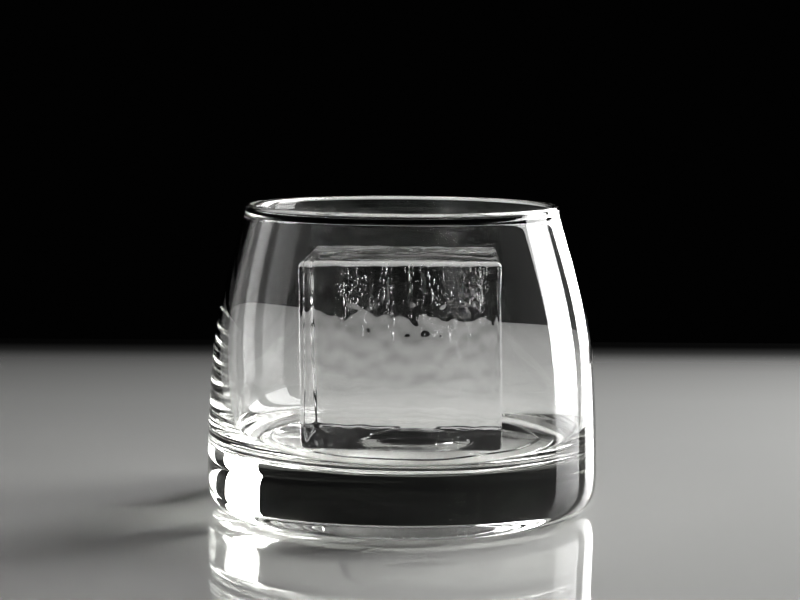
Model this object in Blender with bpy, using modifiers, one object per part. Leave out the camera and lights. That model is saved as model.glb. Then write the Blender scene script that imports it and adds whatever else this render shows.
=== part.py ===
"""A whiskey tumbler with one large ice cube standing in it.

Units are metres, +Z is up, and the origin is the centre of the foot on the table.
The tumbler is one turned piece of glass: a thick solid base, a wall that leans in
towards a rounded lip, and a hollow under the foot. The cube is loose.
"""

import math

import bpy

COLLECTION = "whiskey_tumbler"

# Tumbler, outside
HEIGHT = 0.0780
BELLY_RADIUS = 0.0503
BELLY_HEIGHT = 0.0135       # where the rounding down to the foot begins
FOOT_RADIUS = 0.0448        # outer edge of the ring that touches the table
LEAN = 0.1723               # half of the inward slope that the side nears at the rim
SHOULDER_HEIGHT = 0.0480    # level where the side turns from upright to leaning
SHOULDER_SOFTNESS = 0.0203  # how gently it turns there

# Tumbler, inside
FLOOR_HEIGHT = 0.0150
FLOOR_RADIUS = 0.0385       # flat part of the floor
CORNER_HEIGHT = 0.0100      # height of the curve between floor and wall
WALL_AT_LIP = 0.0018
WALL_GAIN = 0.0028          # what the wall gains from the lip down to the floor
WALL_POWER = 3.0
LIP_HALF = 0.0012           # half the width of the rounded, slightly thickened lip

# Both curves begin gently and end as a quarter of an ellipse; a power of 1 is a plain ellipse
BASE_POWER = 0.5
CORNER_POWER = 0.667

# Hollow under the foot
RING_INNER_RADIUS = 0.0425
HOLLOW_RADIUS = 0.0400
HOLLOW_DEPTH = 0.0042

# Ice cube
ICE_WIDTH = 0.0500
ICE_HEIGHT = 0.0500
ICE_EDGE = 0.0016           # edges rounded by melting
ICE_TURN = math.radians(-1.7)
CLEARANCE = 0.0003          # left between the floor and the ice

# Fineness of the turned surface
TURN_STEPS = 56
WALL_RINGS = 11
CORNER_RINGS = 10
LIP_RINGS = 7


def side_fall(height):
    """How far the outside has come in by this height: one branch of a hyperbola."""
    def reach(level):
        above = level - SHOULDER_HEIGHT
        return math.hypot(above, SHOULDER_SOFTNESS) + above
    return LEAN * (reach(height) - reach(BELLY_HEIGHT))


def outer_radius(height):
    return BELLY_RADIUS - side_fall(height)


def inner_radius(height):
    """The wall thickens downwards, slowly at first."""
    depth = (HEIGHT - height) / (HEIGHT - FLOOR_HEIGHT)
    return outer_radius(height) - WALL_AT_LIP - WALL_GAIN * depth ** WALL_POWER


def between(start, end, count):
    """Evenly spaced values from start to end, both included."""
    return [start + (end - start) * i / (count - 1) for i in range(count)]


def tumbler_profile():
    """(radius, height) from the middle of the floor, over the lip, to the middle of the foot."""
    lip_height = HEIGHT - LIP_HALF
    lip_middle = outer_radius(lip_height) - WALL_AT_LIP / 2
    neck_height = lip_height - 2 * LIP_HALF
    corner_top = FLOOR_HEIGHT + CORNER_HEIGHT
    corner_reach = inner_radius(FLOOR_HEIGHT) - FLOOR_RADIUS
    base_reach = outer_radius(0.0) - FOOT_RADIUS

    points = [(0.0, FLOOR_HEIGHT)]
    for angle in between(math.pi / 2, 0, CORNER_RINGS):
        z = corner_top - CORNER_HEIGHT * math.sin(angle) ** CORNER_POWER
        points.append((inner_radius(z) - corner_reach * (1 - math.cos(angle)), z))
    points += [(inner_radius(z), z) for z in between(corner_top, neck_height, WALL_RINGS)[1:]]
    for angle in between(math.pi, 0, LIP_RINGS):
        points.append((lip_middle + LIP_HALF * math.cos(angle),
                       lip_height + LIP_HALF * math.sin(angle)))
    points += [(outer_radius(z), z) for z in between(neck_height, BELLY_HEIGHT, WALL_RINGS)]
    for angle in between(0, math.pi / 2, CORNER_RINGS)[1:]:
        z = BELLY_HEIGHT * (1 - math.sin(angle) ** BASE_POWER)
        points.append((outer_radius(z) - base_reach * (1 - math.cos(angle)), z))
    return points + [(RING_INNER_RADIUS, 0.0), (HOLLOW_RADIUS, HOLLOW_DEPTH), (0.0, HOLLOW_DEPTH)]


def clear_object(name, mesh, collection):
    """A new object in the collection, shaded smooth except at real edges."""
    mesh.shade_smooth()
    mesh.set_sharp_from_angle(angle=math.radians(50))
    thing = bpy.data.objects.new(name, mesh)
    collection.objects.link(thing)
    return thing


def clear_material(name, colour, roughness, refraction):
    """A see-through Principled material."""
    material = bpy.data.materials.new(name)
    material.use_nodes = True
    shader = material.node_tree.nodes["Principled BSDF"]
    shader.inputs["Base Color"].default_value = (*colour, 1.0)
    shader.inputs["Roughness"].default_value = roughness
    shader.inputs["Metallic"].default_value = 0.0
    shader.inputs["Transmission Weight"].default_value = 1.0
    shader.inputs["IOR"].default_value = refraction
    return material


def make_tumbler(collection):
    """The turned glass: its profile, carried round the Z axis by a Screw modifier."""
    points = [(radius, 0.0, height) for radius, height in tumbler_profile()]
    edges = [(i, i + 1) for i in range(len(points) - 1)]
    mesh = bpy.data.meshes.new("tumbler")
    mesh.from_pydata(points, edges, [])
    tumbler = clear_object("tumbler", mesh, collection)
    turn = tumbler.modifiers.new("Turn", "SCREW")
    turn.axis = "Z"
    turn.angle = math.tau
    turn.steps = TURN_STEPS
    turn.render_steps = TURN_STEPS
    turn.use_merge_vertices = True
    turn.merge_threshold = 0.00001
    turn.use_smooth_shade = True
    tumbler.data.materials.append(clear_material("clear_glass", (0.98, 0.99, 0.98), 0.02, 1.51))
    return tumbler


def make_ice_cube(collection):
    """The loose cube, a box with rounded edges, standing on the floor of the tumbler."""
    bpy.ops.mesh.primitive_cube_add(size=1.0)
    ice = bpy.context.active_object
    ice.name = "ice_cube"
    ice.data.name = "ice_cube"
    for holder in list(ice.users_collection):
        holder.objects.unlink(ice)
    collection.objects.link(ice)
    for vertex in ice.data.vertices:
        vertex.co.x *= ICE_WIDTH
        vertex.co.y *= ICE_WIDTH
        vertex.co.z *= ICE_HEIGHT
    ice.data.shade_smooth()
    rounding = ice.modifiers.new("Melted edges", "BEVEL")
    rounding.width = ICE_EDGE
    rounding.segments = 3
    rounding.limit_method = "NONE"
    ice.location = (0.0, 0.0, FLOOR_HEIGHT + CLEARANCE + ICE_HEIGHT / 2)
    ice.rotation_euler = (0.0, 0.0, ICE_TURN)
    ice.data.materials.append(clear_material("clear_ice", (0.96, 0.98, 0.99), 0.05, 1.31))
    return ice


def main():
    for thing in list(bpy.data.objects):
        bpy.data.objects.remove(thing, do_unlink=True)
    collection = bpy.data.collections.new(COLLECTION)
    bpy.context.scene.collection.children.link(collection)
    make_tumbler(collection)
    make_ice_cube(collection)


main()
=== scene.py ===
"""The looks of the whiskey tumbler: clear glass, a large clear ice cube and melt water."""

import math
import random

import bmesh
import bpy
from mathutils import Matrix, Vector, noise


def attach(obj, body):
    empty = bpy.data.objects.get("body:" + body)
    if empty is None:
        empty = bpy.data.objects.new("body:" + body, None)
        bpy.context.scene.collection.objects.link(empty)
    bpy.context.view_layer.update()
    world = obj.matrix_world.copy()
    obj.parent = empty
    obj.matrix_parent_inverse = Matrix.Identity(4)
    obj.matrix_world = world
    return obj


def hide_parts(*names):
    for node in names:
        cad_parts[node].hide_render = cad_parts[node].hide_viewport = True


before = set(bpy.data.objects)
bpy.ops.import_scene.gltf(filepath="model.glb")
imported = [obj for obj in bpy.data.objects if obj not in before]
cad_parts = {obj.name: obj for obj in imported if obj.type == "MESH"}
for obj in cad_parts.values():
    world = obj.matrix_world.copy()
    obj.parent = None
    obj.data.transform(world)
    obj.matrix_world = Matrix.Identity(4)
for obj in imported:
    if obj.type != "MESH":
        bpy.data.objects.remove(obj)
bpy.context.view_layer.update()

# Tumbler, in metres and as in the CAD model
HEIGHT = 0.0780
BELLY_RADIUS = 0.0503
BELLY_HEIGHT = 0.0135
FOOT_RADIUS = 0.0448
BASE_POWER = 0.5
LEAN = 0.1723
SHOULDER_HEIGHT = 0.0480
SHOULDER_SOFTNESS = 0.0203
FLOOR_HEIGHT = 0.0150
FLOOR_RADIUS = 0.0385
CORNER_HEIGHT = 0.0100
CORNER_POWER = 0.667
WALL_AT_LIP = 0.0018
LIP_HALF = 0.0012
WALL_GAIN = 0.0028
WALL_POWER = 3.0
RING_INNER_RADIUS = 0.0425
HOLLOW_RADIUS = 0.0400

# Tumbler, finer than the CAD model
LIP_BULGE = 0.0003          # how much the wall swells into the lip
BULGE_REACH = 0.0015
BULGE_INSIDE = 1.6          # shares of the swelling that each side of the wall takes
BULGE_OUTSIDE = 0.4
HOLLOW_EDGE = 0.0040        # depth of the hollow at its rounded edge
HOLLOW_DEPTH = 0.0044       # and in its middle
CAVITY_LEAN = 0.020         # sideways shift of the inside for each metre below the lip
RIPPLE = 0.00002            # height of the level ripples on the outside
RIPPLE_PITCH = 300          # steps of the noise for each metre of height
GLASS_MARKS = 0.06          # greatest roughness of the faint marks
SEGMENTS = 256              # steps round the glass

# Ice: a box with rounded edges
ICE_TURN = math.radians(-1.7)
ICE_EDGE = 0.0016
ICE_WIDTH = 0.05
ICE_HEIGHT = 0.05
ICE_LEAN = -0.010
ICE_CELLS = 90              # squares along each edge
CLEARANCE = 0.0003
ICE_SHRINK = 0.992          # leaves room for the waves inside the CAD box
ICE_WAVES = 0.00012         # depth of the melted unevenness all over
BACK_WAVES = 0.00024        # and of the finer waves, which are strongest on the back
ICE_SEED = 1                # the waves are drawn from this, so they are the same every time
BUBBLES = 800
BUBBLE_ROWS = 34
BUBBLE_SEED = 5
BUBBLE_LIMIT = 0.0235       # no bubble is further than this towards the back or the top
FROST = 0.35                # greatest roughness of the frost on the upper back

# Where the ice rests: a ring of its underside is melted onto the floor (centre, half sizes)
REST_CENTRE = (0.0030, -0.0010)
REST_OUTER = (0.0138, 0.0245)
REST_INNER = (0.0100, 0.0070)
REST_DROP = 0.00075         # how far the ring comes down from the underside

# Melt water on the floor
WATER_BUMP = 0.00006
FILM = 0.0002
FILM_RIDGE = 0.00025        # about how far its edge is raised above the rest
FILM_RADIUS = 0.0355
FILM_EDGE = 0.0030          # scale of the raised edge, measured inwards from the rim
FILM_DIP = 0.0001           # how far the film reaches under the floor's surface
FILM_RINGS = 60
FILM_STEPS = 240

# Camera
CAMERA_PLACE = (-0.0008, -0.540, 0.1092)
CAMERA_PITCH = 0.1033
CAMERA_ROLL = 0.0066
CAMERA_LENS = 94.66

# Table: its top is at height 0. The ramps below are painted shade, darker towards the back where the
# light falls off; their stops are (metres behind the glass's middle, part of TABLE_SHADE)
TABLE_WIDTH = 6.0
TABLE_DEPTH = 3.345
TABLE_MIDDLE = -1.3275
TABLE_THICKNESS = 0.03
TABLE_ROUGHNESS = 0.03
TABLE_SHADE = 0.6
TABLE_BLUE = 0.98           # its blue part against red and green
# painted shade for all but the camera's own rays: the table darker towards the back
TABLE_PAINTED_FALLOFF = ((0.0, 1.0), (0.10, 1.0), (0.18, 0.97), (0.25, 0.90), (0.30, 0.80), (0.344, 0.68))
# painted shade for the camera's own rays: the table darkening to near black towards the back
SEEN_PAINTED_FALLOFF = ((0.03, 1.0), (0.097, 0.976), (0.179, 0.886), (0.228, 0.769), (0.255, 0.682),
              (0.284, 0.50), (0.310, 0.12), (0.330, 0.01))
PAINTED_LIGHT_UNDER_GLASS = 1.6           # painted light: how much paler the table is painted under the glass, for all but the camera's own rays
PAINTED_LIGHT_FROM = 0.038          # the painted light ends gradually between these distances from the middle
PAINTED_LIGHT_TO = 0.052

# Lights. Standing strips: azimuth, distance, height, width, height of the strip, watts
KEY = (109, 0.50, 0.45, 0.22, 0.9, 5.5)
BACK = (141, 0.60, 0.50, 0.2, 1.0, 7.2)
# Overhead panel: place, width, depth, watts
OVER = (0.0, 0.0, 1.1, 0.9, 0.6, 1.4)
ROOM = 0.0015               # brightness of the dark room
GAMMA = 0.80


def side_fall(height):
    """How far the outside has come in by this height: one branch of a hyperbola."""
    def reach(level):
        above = level - SHOULDER_HEIGHT
        return math.hypot(above, SHOULDER_SOFTNESS) + above
    return LEAN * (reach(height) - reach(BELLY_HEIGHT))


def outer_radius(height):
    return BELLY_RADIUS - side_fall(height)


def inner_radius(height):
    """The wall thickens downwards, slowly at first."""
    depth = (HEIGHT - height) / (HEIGHT - FLOOR_HEIGHT)
    return outer_radius(height) - WALL_AT_LIP - WALL_GAIN * depth ** WALL_POWER


def between(start, end, count):
    """Evenly spaced values from start to end, both included."""
    return [start + (end - start) * i / (count - 1) for i in range(count)]


def ease(value, start, end):
    """0 at start, 1 at end, smooth between."""
    s = max(0.0, min(1.0, (value - start) / (end - start)))
    return s * s * (3 - 2 * s)


def lip_bulge(height):
    """How much each side of the wall swells into the fire-polished lip."""
    return LIP_BULGE * math.exp(-((HEIGHT - height - LIP_HALF) / BULGE_REACH) ** 2)


def tumbler_profile():
    """(radius, height, inside) from the middle of the floor, over the lip, to that of the foot."""
    step = 0.002
    slope = (outer_radius(HEIGHT - step) - outer_radius(HEIGHT)) / step
    lean = math.atan(slope)
    lip_z = HEIGHT - LIP_HALF
    lip_r = (outer_radius(lip_z) + inner_radius(lip_z)) / 2
    outer_z = lip_z + LIP_HALF * math.sin(lean)
    inner_z = lip_z - LIP_HALF * math.sin(lean)
    corner_top = FLOOR_HEIGHT + CORNER_HEIGHT
    corner_reach = inner_radius(FLOOR_HEIGHT) - FLOOR_RADIUS
    base_reach = outer_radius(0.0) - FOOT_RADIUS

    points = [(FLOOR_RADIUS * k / 6, FLOOR_HEIGHT, 1) for k in range(6)]
    for t in between(90, 0, 61):
        a = math.radians(t)
        z = corner_top - CORNER_HEIGHT * math.sin(a) ** CORNER_POWER
        points.append((inner_radius(z) - corner_reach * (1 - math.cos(a)), z, 1))
    points += [(inner_radius(z) - lip_bulge(z) * BULGE_INSIDE, z, 1)
               for z in between(corner_top, inner_z, 90)[1:-1]]
    for t in between(180, 0, 25):
        a = math.radians(t) + lean
        points.append((lip_r + LIP_HALF * math.cos(a), lip_z + LIP_HALF * math.sin(a), 0))
    points += [(outer_radius(z) + lip_bulge(z) * BULGE_OUTSIDE, z, 0)
               for z in between(outer_z, BELLY_HEIGHT, 90)[1:]]
    for t in between(0, 90, 61)[1:]:
        a = math.radians(t)
        z = BELLY_HEIGHT * (1 - math.sin(a) ** BASE_POWER)
        points.append((outer_radius(z) - base_reach * (1 - math.cos(a)), z, 0))
    points.append((RING_INNER_RADIUS, 0.0, 0))
    for k in range(1, 41):
        s = k / 40
        points.append((RING_INNER_RADIUS + (HOLLOW_RADIUS - RING_INNER_RADIUS) * s,
                       HOLLOW_EDGE * s * s * (3 - 2 * s), 0))
    for k in range(1, 13):
        out = 1 - k / 12
        points.append((HOLLOW_RADIUS * out,
                       HOLLOW_EDGE + (HOLLOW_DEPTH - HOLLOW_EDGE) * (1 - out ** 2), 0))
    return points


def leaned(x, y, z):
    """The cavity leans a little against the outside."""
    return x + CAVITY_LEAN * (HEIGHT - z), y, z


def rippled(x, y, z):
    """The outside has faint level ripples, strongest on the left."""
    reach = math.hypot(x, y)
    if reach < 0.02:
        return x, y, z
    a = math.atan2(y, x)
    wave = noise.noise(Vector((math.cos(a) * 1.5, math.sin(a) * 1.5, z * RIPPLE_PITCH)))
    side = 0.12 + 0.88 * ease(math.cos(a), -0.80, -0.95)
    grow = 1 + wave * RIPPLE * side * ease(z, 0.056, 0.045) * ease(z, 0.016, 0.022) / reach
    return x * grow, y * grow, z


def turned(name, profile, segments):
    """An object made by carrying the profile round the Z axis."""
    verts, faces = [], []
    rings = []
    for r, z, inside in profile:
        if r < 1e-7:
            rings.append([len(verts)])
            verts.append(leaned(0, 0, z) if inside else (0, 0, z))
        else:
            rings.append(list(range(len(verts), len(verts) + segments)))
            turn = [math.tau * k / segments for k in range(segments)]
            ring = [(r * math.cos(a), r * math.sin(a), z) for a in turn]
            verts += [leaned(*p) if inside else rippled(*p) for p in ring]
    for a, b in zip(rings, rings[1:]):
        for k in range(segments):
            n = (k + 1) % segments
            if len(a) == 1:
                faces.append((a[0], b[k], b[n]))
            elif len(b) == 1:
                faces.append((a[k], b[0], a[n]))
            else:
                faces.append((a[k], b[k], b[n], a[n]))
    mesh = bpy.data.meshes.new(name)
    mesh.from_pydata(verts, [], faces)
    mesh.validate()
    mesh.shade_smooth()
    o = bpy.data.objects.new(name, mesh)
    bpy.context.scene.collection.objects.link(o)
    return o


def clear_material(name, ior, tint=None, density=0.0):
    """A see-through material, with a tint that grows with the thickness where one is given."""
    m = bpy.data.materials.new(name)
    m.use_nodes = True
    s = m.node_tree.nodes["Principled BSDF"]
    s.inputs["Base Color"].default_value = (1, 1, 1, 1)
    s.inputs["Roughness"].default_value = 0.0
    s.inputs["IOR"].default_value = ior
    s.inputs["Transmission Weight"].default_value = 1.0
    if tint:
        v = m.node_tree.nodes.new("ShaderNodeVolumeAbsorption")
        v.inputs["Color"].default_value = (*tint, 1)
        v.inputs["Density"].default_value = density
        out = m.node_tree.nodes["Material Output"]
        m.node_tree.links.new(v.outputs["Volume"], out.inputs["Volume"])
    return m


def worn(m, scale, start, roughness, bump_depth=0.0, bump_scale=0.0):
    """Patches of slight roughness, and a fine unevenness where bump_depth says how deep."""
    nodes, links = m.node_tree.nodes, m.node_tree.links
    shader = nodes["Principled BSDF"]
    where = nodes.new("ShaderNodeTexCoord")
    patches = nodes.new("ShaderNodeTexNoise")
    patches.inputs["Scale"].default_value = scale
    patches.inputs["Detail"].default_value = 5.0
    amount = nodes.new("ShaderNodeMapRange")
    amount.inputs["From Min"].default_value = start
    amount.inputs["From Max"].default_value = start + 0.12
    amount.inputs["To Max"].default_value = roughness
    links.new(where.outputs["Object"], patches.inputs["Vector"])
    links.new(patches.outputs["Fac"], amount.inputs["Value"])
    links.new(amount.outputs["Result"], shader.inputs["Roughness"])
    if bump_depth:
        fine = nodes.new("ShaderNodeTexNoise")
        fine.inputs["Scale"].default_value = bump_scale
        bump = nodes.new("ShaderNodeBump")
        bump.inputs["Distance"].default_value = bump_depth
        links.new(where.outputs["Object"], fine.inputs["Vector"])
        links.new(fine.outputs["Fac"], bump.inputs["Height"])
        links.new(bump.outputs["Normal"], shader.inputs["Normal"])


def make_tumbler():
    o = turned("tumbler_glass", tumbler_profile(), SEGMENTS)
    glass = clear_material("clear_glass", 1.51, (0.93, 0.96, 0.88), 6.0)
    worn(glass, 180.0, 0.66, GLASS_MARKS)
    o.data.materials.append(glass)
    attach(o, "glass")
    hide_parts("tumbler")
    return o


def rounded_box(name, size, radius, cells):
    """A box about the origin with rounded edges, in a grid fine enough to carry waves."""
    bm = bmesh.new()
    bmesh.ops.create_cube(bm, size=1.0)
    bmesh.ops.subdivide_edges(bm, edges=bm.edges[:], cuts=cells - 1, use_grid_fill=True)
    half = Vector(size) / 2
    for v in bm.verts:
        q = Vector(tuple(math.copysign(min(abs(c) * 2, 1.0), c) for c in v.co))
        p = Vector((q.x * half.x, q.y * half.y, q.z * half.z))
        core = Vector(tuple(max(-h + radius, min(h - radius, c)) for c, h in zip(p, half)))
        off = p - core
        if off.length > 1e-9:
            p = core + off.normalized() * radius
        v.co = p
    mesh = bpy.data.meshes.new(name)
    bm.to_mesh(mesh)
    bm.free()
    mesh.shade_smooth()
    o = bpy.data.objects.new(name, mesh)
    bpy.context.scene.collection.objects.link(o)
    return o


def ball():
    """The points and faces of a small unit ball, its faces turned inwards."""
    bm = bmesh.new()
    bmesh.ops.create_icosphere(bm, subdivisions=1, radius=1.0)
    verts = [v.co.copy() for v in bm.verts]
    faces = [[v.index for v in reversed(f.verts)] for f in bm.faces]
    bm.free()
    return verts, faces


def with_bubbles(mesh):
    """The mesh and the air trapped in it: round and drawn-out bubbles in rows near its top."""
    verts = [v.co.copy() for v in mesh.vertices]
    faces = [list(f.vertices) for f in mesh.polygons]
    ball_verts, ball_faces = ball()
    dice = random.Random(BUBBLE_SEED)
    rows = [(dice.uniform(-0.017, 0.022), dice.uniform(0.004, 0.021), dice.uniform(0.008, 0.020))
            for _ in range(BUBBLE_ROWS)]
    for k in range(BUBBLES):
        x, y, top = dice.choice(rows)
        size = 0.00004 + 0.00012 * dice.random() ** 3
        long = size * dice.choice((1, 1, 1, 2, 6, 12))
        place = Vector((x + dice.gauss(0, 0.0007), y + dice.gauss(0, 0.0012),
                        dice.uniform(top - 0.008, 0.0225)))
        place.y = min(place.y, BUBBLE_LIMIT)
        place.z = min(place.z, BUBBLE_LIMIT - long)
        first = len(verts)
        verts += [place + Vector((c.x * size, c.y * size, c.z * long)) for c in ball_verts]
        faces += [[first + i for i in face] for face in ball_faces]
    full = bpy.data.meshes.new("ice_block")
    full.from_pydata(verts, [], faces)
    full.shade_smooth()
    return full


def ring_part(x, y):
    """1 on the ring where the ice rests on the floor, 0 away from it."""
    dx, dy = x - REST_CENTRE[0], y - REST_CENTRE[1]
    wobble = 0.10 * noise.noise(Vector((x * 160, y * 160, 3.0)))
    outer = math.hypot(dx / REST_OUTER[0], dy / REST_OUTER[1]) + wobble
    inner = math.hypot(dx / REST_INNER[0], dy / REST_INNER[1]) + wobble
    return ease(outer, 1.08, 1.0) * ease(inner, 0.92, 1.0)


def make_ice():
    """The cube, its faces uneven from melting, with bubbles and frost in it."""
    centre = Vector((0, 0, FLOOR_HEIGHT + CLEARANCE + ICE_HEIGHT / 2))
    size = (ICE_WIDTH, ICE_WIDTH, ICE_HEIGHT)
    o = rounded_box("ice_block", size, ICE_EDGE, ICE_CELLS)
    turn = Matrix.Rotation(ICE_LEAN, 4, "Y") @ Matrix.Rotation(ICE_TURN, 4, "Z")
    turn = Matrix.Translation(centre) @ turn
    noise.seed_set(ICE_SEED)
    for v in o.data.vertices:
        p = v.co.copy()
        d = noise.noise_vector(p * 90) * ICE_WAVES
        fine = noise.noise_vector(Vector((p.x * 330, p.y * 330, p.z * 260)))
        d += fine * BACK_WAVES * (0.15 + 0.85 * ease(p.y, 0.018, 0.024))
        q = p * ICE_SHRINK + d
        if p.z < -ICE_HEIGHT / 2 + 0.0001:
            q.z = -ICE_HEIGHT / 2 * ICE_SHRINK + d.z * 0.5 - REST_DROP * ring_part(p.x, p.y)
        v.co = q
    o.data = with_bubbles(o.data)
    o.data.transform(turn)
    material = clear_material("clear_ice", 1.31)
    frost_upper_back(material)
    o.data.materials.append(material)
    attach(o, "ice")
    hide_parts("ice_cube")
    return o


def frost_upper_back(m):
    """The back of the cube is frosted in upright streaks near its top."""
    nodes, links = m.node_tree.nodes, m.node_tree.links
    shader = nodes["Principled BSDF"]
    where = nodes.new("ShaderNodeTexCoord")
    stretch = nodes.new("ShaderNodeMapping")
    stretch.inputs["Scale"].default_value = (420, 420, 110)
    streaks = nodes.new("ShaderNodeTexNoise")
    streaks.inputs["Scale"].default_value = 1.0
    streaks.inputs["Detail"].default_value = 4.0
    amount = nodes.new("ShaderNodeMapRange")
    amount.inputs["From Min"].default_value = 0.48
    amount.inputs["From Max"].default_value = 0.72
    amount.inputs["To Max"].default_value = FROST
    parts = nodes.new("ShaderNodeSeparateXYZ")
    high = nodes.new("ShaderNodeMapRange")
    high.inputs["From Min"].default_value = 0.043
    high.inputs["From Max"].default_value = 0.050
    far = nodes.new("ShaderNodeMapRange")
    far.inputs["From Min"].default_value = 0.0225
    far.inputs["From Max"].default_value = 0.0235
    both = nodes.new("ShaderNodeMath")
    both.operation = "MULTIPLY"
    rough = nodes.new("ShaderNodeMath")
    rough.operation = "MULTIPLY"
    links.new(where.outputs["Object"], stretch.inputs["Vector"])
    links.new(stretch.outputs["Vector"], streaks.inputs["Vector"])
    links.new(streaks.outputs["Fac"], amount.inputs["Value"])
    links.new(where.outputs["Object"], parts.inputs["Vector"])
    links.new(parts.outputs["Z"], high.inputs["Value"])
    links.new(parts.outputs["Y"], far.inputs["Value"])
    links.new(high.outputs["Result"], both.inputs[0])
    links.new(far.outputs["Result"], both.inputs[1])
    links.new(both.outputs["Value"], rough.inputs[0])
    links.new(amount.outputs["Result"], rough.inputs[1])
    links.new(rough.outputs["Value"], shader.inputs["Roughness"])


def make_melt_water():
    """A thin film of water with a raised, wavering edge, which dips just under the floor's surface."""
    rings, steps = FILM_RINGS, FILM_STEPS
    verts, faces = [], []
    low = FLOOR_HEIGHT - FILM_DIP
    for side in (1, 0):
        for k in range(1, rings + 1):
            for n in range(steps):
                a = math.tau * n / steps
                sway = 0.0016 * noise.noise(Vector((math.cos(a) * 2.2, math.sin(a) * 2.2, 7.0)))
                edge = FILM_RADIUS + sway
                r = edge * k / rings
                gap = (edge - r) / FILM_EDGE
                lift = FILM + FILM_RIDGE * 4 * max(0.0, gap) * math.exp(-1.6 * gap) * (
                    0.6 + noise.noise(Vector((math.cos(a) * 3, math.sin(a) * 3, 1.0))))
                lift *= ease(gap, 0.0, 0.25) if k > rings - 6 else 1.0
                z = FLOOR_HEIGHT + lift if side and k < rings else low
                verts.append((r * math.cos(a), r * math.sin(a), z))
    top_middle, low_middle = len(verts), len(verts) + 1
    verts += [(0, 0, FLOOR_HEIGHT + FILM), (0, 0, low)]

    def at(side, k, n):
        return (0 if side else rings * steps) + (k - 1) * steps + n % steps

    for n in range(steps):
        faces.append((top_middle, at(1, 1, n), at(1, 1, n + 1)))
        faces.append((low_middle, at(0, 1, n + 1), at(0, 1, n)))
        for k in range(1, rings):
            faces.append((at(1, k, n), at(1, k + 1, n), at(1, k + 1, n + 1), at(1, k, n + 1)))
            faces.append((at(0, k, n), at(0, k, n + 1), at(0, k + 1, n + 1), at(0, k + 1, n)))
        faces.append((at(1, rings, n), at(0, rings, n), at(0, rings, n + 1), at(1, rings, n + 1)))
    mesh = bpy.data.meshes.new("melt_water")
    mesh.from_pydata(verts, [], faces)
    mesh.shade_smooth()
    o = bpy.data.objects.new("melt_water", mesh)
    bpy.context.scene.collection.objects.link(o)
    water = clear_material("water", 1.33)
    worn(water, 120.0, 0.66, 0.03, WATER_BUMP, 260.0)
    o.data.materials.append(water)
    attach(o, "glass")
    return o


def make_floor():
    """The table, with painted shade darkening it towards the back, one ramp for the camera's own rays
    and another for all the rest, and painted light under the glass for the rest.
    """
    bpy.ops.mesh.primitive_cube_add(size=1.0, location=(0, 0, 0))
    o = bpy.context.active_object
    o.name = "table"
    for v in o.data.vertices:
        v.co = Vector((v.co.x * TABLE_WIDTH, v.co.y * TABLE_DEPTH + TABLE_MIDDLE,
                       (v.co.z - 0.5) * TABLE_THICKNESS))
    m = bpy.data.materials.new("table")
    m.use_nodes = True
    s = m.node_tree.nodes["Principled BSDF"]
    s.inputs["Roughness"].default_value = TABLE_ROUGHNESS
    s.inputs["IOR"].default_value = 1.45
    nodes, links = m.node_tree.nodes, m.node_tree.links
    where = nodes.new("ShaderNodeTexCoord")
    parts = nodes.new("ShaderNodeSeparateXYZ")
    fade = nodes.new("ShaderNodeMapRange")
    links.new(where.outputs["Object"], parts.inputs["Vector"])
    links.new(parts.outputs["Y"], fade.inputs["Value"])
    painted_falloff_shades = []
    # painted shade: each ramp darkens the table towards the back
    for stops in (TABLE_PAINTED_FALLOFF, SEEN_PAINTED_FALLOFF):
        ramp = nodes.new("ShaderNodeValToRGB")
        ramp.color_ramp.elements.remove(ramp.color_ramp.elements[1])
        for k, (y, part) in enumerate(stops):
            stop = ramp.color_ramp.elements[0] if k == 0 else ramp.color_ramp.elements.new(0.5)
            stop.position = y
            shade = part * TABLE_SHADE
            stop.color = (shade, shade, shade * TABLE_BLUE, 1)
        links.new(fade.outputs["Result"], ramp.inputs["Fac"])
        painted_falloff_shades.append(ramp.outputs["Color"])
    # painted light: for all but the camera's own rays the table is painted paler under the glass
    ray = nodes.new("ShaderNodeLightPath")
    under = nodes.new("ShaderNodeVectorMath")
    under.operation = "LENGTH"
    painted_light_mask = nodes.new("ShaderNodeMapRange")
    painted_light_mask.inputs["From Min"].default_value = PAINTED_LIGHT_FROM
    painted_light_mask.inputs["From Max"].default_value = PAINTED_LIGHT_TO
    painted_light_mask.inputs["To Min"].default_value = PAINTED_LIGHT_UNDER_GLASS
    painted_light_mask.inputs["To Max"].default_value = 1.0
    painted_light = nodes.new("ShaderNodeVectorMath")
    painted_light.operation = "SCALE"
    links.new(where.outputs["Object"], under.inputs[0])
    links.new(under.outputs["Value"], painted_light_mask.inputs["Value"])
    links.new(painted_falloff_shades[0], painted_light.inputs[0])
    links.new(painted_light_mask.outputs["Result"], painted_light.inputs["Scale"])
    pick = nodes.new("ShaderNodeMixRGB")
    links.new(ray.outputs["Is Camera Ray"], pick.inputs["Fac"])
    links.new(painted_light.outputs["Vector"], pick.inputs["Color1"])
    links.new(painted_falloff_shades[1], pick.inputs["Color2"])
    links.new(pick.outputs["Color"], s.inputs["Base Color"])
    o.data.materials.append(m)


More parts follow.
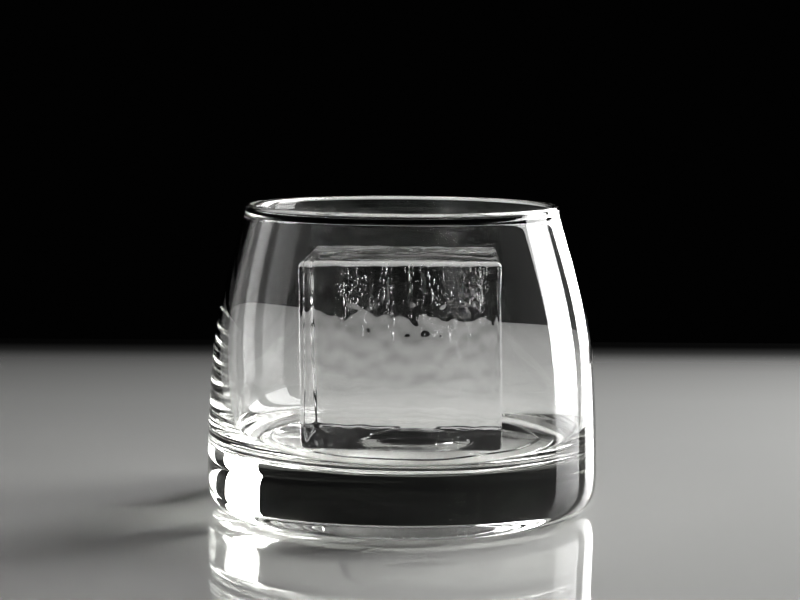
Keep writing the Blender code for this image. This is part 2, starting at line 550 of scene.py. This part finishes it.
def area(name, place, aim, width, height, watts):
    """A soft rectangular light that the camera doesn't see."""
    light = bpy.data.lights.new(name, "AREA")
    light.shape = "RECTANGLE"
    light.size = width
    light.size_y = height
    light.energy = watts
    o = bpy.data.objects.new(name, light)
    bpy.context.scene.collection.objects.link(o)
    place, aim = Vector(place), Vector(aim)
    o.location = place
    o.rotation_mode = "QUATERNION"
    o.rotation_quaternion = (place - aim).to_track_quat("Z", "Y")
    o.visible_camera = False
    return o


def around(azimuth, distance, height):
    """A place at this azimuth: 0 is the camera's side (-Y), 90 is +X."""
    a = math.radians(azimuth)
    return (distance * math.sin(a), -distance * math.cos(a), height)


def make_lights():
    world = bpy.data.worlds.new("Dark room")
    bpy.context.scene.world = world
    world.use_nodes = True
    world.node_tree.nodes["Background"].inputs["Color"].default_value = (ROOM, ROOM, ROOM, 1)
    area("key", around(*KEY[:3]), (0, 0, KEY[2]), *KEY[3:])
    area("overhead", OVER[:3], (0, 0, 0), *OVER[3:])
    area("back", around(*BACK[:3]), (0, 0, BACK[2]), *BACK[3:])


def make_camera():
    data = bpy.data.cameras.new("camera")
    data.lens = CAMERA_LENS
    o = bpy.data.objects.new("camera", data)
    bpy.context.scene.collection.objects.link(o)
    p, r = CAMERA_PITCH, CAMERA_ROLL
    forward = Vector((0, math.cos(p), -math.sin(p)))
    up = Vector((0, math.sin(p), math.cos(p)))
    right = Vector((1, 0, 0))
    rolled_right = right * math.cos(r) + up * math.sin(r)
    rolled_up = -right * math.sin(r) + up * math.cos(r)
    m = Matrix((rolled_right, rolled_up, -forward)).transposed().to_4x4()
    m.translation = Vector(CAMERA_PLACE)
    o.matrix_world = m
    bpy.context.scene.camera = o


scene = bpy.context.scene
scene.view_settings.view_transform = "Standard"
scene.view_settings.gamma = GAMMA
scene.cycles.max_bounces = 32
scene.cycles.transmission_bounces = 32
scene.cycles.glossy_bounces = 16
scene.cycles.use_denoising = True
scene.cycles.blur_glossy = 0.0
scene.cycles.sample_clamp_indirect = 0.0
make_camera()
make_tumbler()
make_ice()
make_melt_water()
make_floor()
make_lights()
